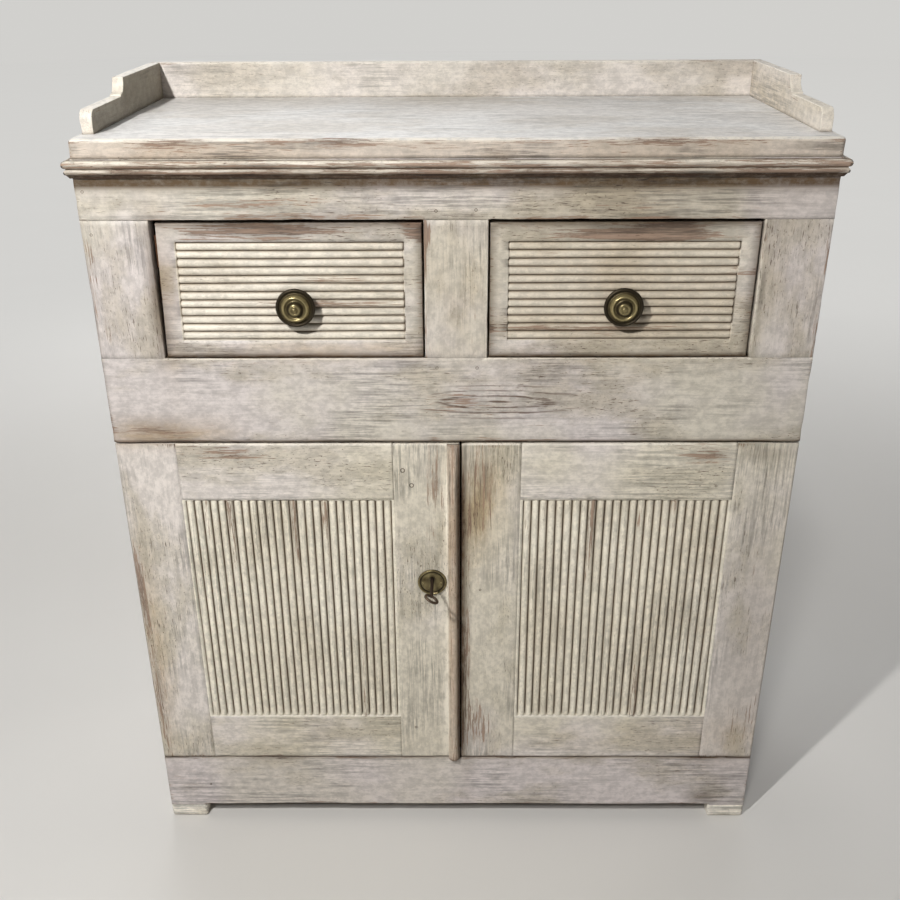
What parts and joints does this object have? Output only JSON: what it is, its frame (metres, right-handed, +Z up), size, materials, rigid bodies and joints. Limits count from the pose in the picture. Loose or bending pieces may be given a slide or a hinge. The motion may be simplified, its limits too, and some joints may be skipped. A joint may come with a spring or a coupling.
{
  "type": "buffet cabinet",
  "caption": "Painted pine buffet cabinet with reeded doors on corner pivots, reeded drawers with turned knobs, a key lock and a stepped gallery round its top.",
  "frame": {"origin": "on the floor, under the middle of the bounding box", "axes": "+X to the right as seen from the front, +Y to the back, +Z up; the doors and drawers face -Y"},
  "size_m": [0.856, 0.411, 1.018],
  "materials": {
    "frame_paint": "old grey-cream paint, scraped along the grain to pinkish bare pine",
    "reed_paint": "old cream paint, worn on the crests and dirty in the grooves",
    "bare_pine": "unpainted aged pine",
    "brass": "dark aged brass",
    "iron": "dark forged iron"
  },
  "bodies": {
    "case": {"side_panel_left": "frame_paint", "side_panel_right": "frame_paint", "back_board_1": "bare_pine", "back_board_2": "bare_pine", "back_board_3": "bare_pine", "bottom_board": "bare_pine", "shelf_board": "bare_pine", "front_top_rail": "frame_paint", "drawer_stile_left": "frame_paint", "drawer_stile_middle": "frame_paint", "drawer_stile_right": "frame_paint", "apron_rail": "frame_paint", "plinth_rail": "frame_paint", "foot_front_left": "frame_paint", "foot_front_right": "frame_paint", "foot_rear_left": "frame_paint", "foot_rear_right": "frame_paint", "top_board": "frame_paint", "top_moulding_front": "frame_paint", "top_moulding_left": "frame_paint", "top_moulding_right": "frame_paint", "gallery_back": "frame_paint", "gallery_left": "frame_paint", "gallery_right": "frame_paint", "drawer_runner_left": "bare_pine", "drawer_runner_middle": "bare_pine", "drawer_runner_right": "bare_pine", "drawer_kicker": "bare_pine", "pivot_top_left": "iron", "pivot_bottom_left": "iron", "pivot_top_right": "iron", "pivot_bottom_right": "iron"},
    "left_door": {"left_door_hinge_stile": "frame_paint", "left_door_lock_stile": "frame_paint", "left_door_top_rail": "frame_paint", "left_door_bottom_rail": "frame_paint", "left_door_panel": "reed_paint", "meeting_bead": "frame_paint", "escutcheon": "brass", "lock_case": "iron"},
    "right_door": {"right_door_hinge_stile": "frame_paint", "right_door_meeting_stile": "frame_paint", "right_door_top_rail": "frame_paint", "right_door_bottom_rail": "frame_paint", "right_door_panel": "reed_paint"},
    "left_drawer": {"left_drawer_front": "reed_paint", "left_drawer_side_left": "bare_pine", "left_drawer_side_right": "bare_pine", "left_drawer_back": "bare_pine", "left_drawer_bottom": "bare_pine", "left_drawer_knob": "brass"},
    "right_drawer": {"right_drawer_front": "reed_paint", "right_drawer_side_left": "bare_pine", "right_drawer_side_right": "bare_pine", "right_drawer_back": "bare_pine", "right_drawer_bottom": "bare_pine", "right_drawer_knob": "brass"},
    "key": {"key": "iron"},
    "lock_bolt": {"lock_bolt": "iron"},
    "turn_button": {"right_door_turn_button": "bare_pine"}
  },
  "joints": [
    {"name": "left_door_hinge", "type": "hinge", "parent": "case", "child": "left_door", "pos_m": [-0.40884, -0.1409, 0.1125], "axis": [0, 0, -1], "range_deg": [0, 170]},
    {"name": "right_door_hinge", "type": "hinge", "parent": "case", "child": "right_door", "pos_m": [0.40884, -0.1409, 0.1125], "axis": [0, 0, 1], "range_deg": [0, 170]},
    {"name": "left_drawer_slide", "type": "slide", "parent": "case", "child": "left_drawer", "axis": [0, -1, 0], "range_m": [0, 0.24]},
    {"name": "right_drawer_slide", "type": "slide", "parent": "case", "child": "right_drawer", "axis": [0, -1, 0], "range_m": [0, 0.24]},
    {"name": "key_turn", "type": "hinge", "parent": "left_door", "child": "key", "pos_m": [-0.0318, -0.1495, 0.4135], "axis": [0, -1, 0], "range_deg": [-61, 121]},
    {"name": "bolt_slide", "type": "slide", "parent": "left_door", "child": "lock_bolt", "axis": [1, 0, 0], "range_m": [-0.004, 0.008]},
    {"name": "turn_button_turn", "type": "hinge", "parent": "right_door", "child": "turn_button", "pos_m": [0.032, -0.128, 0.5765], "axis": [0, -1, 0], "range_deg": [0, 90]}
  ],
  "couplings": [
    {"joint": "key_turn", "follows": "bolt_slide", "rad_per_m": 261.8}
  ]
}
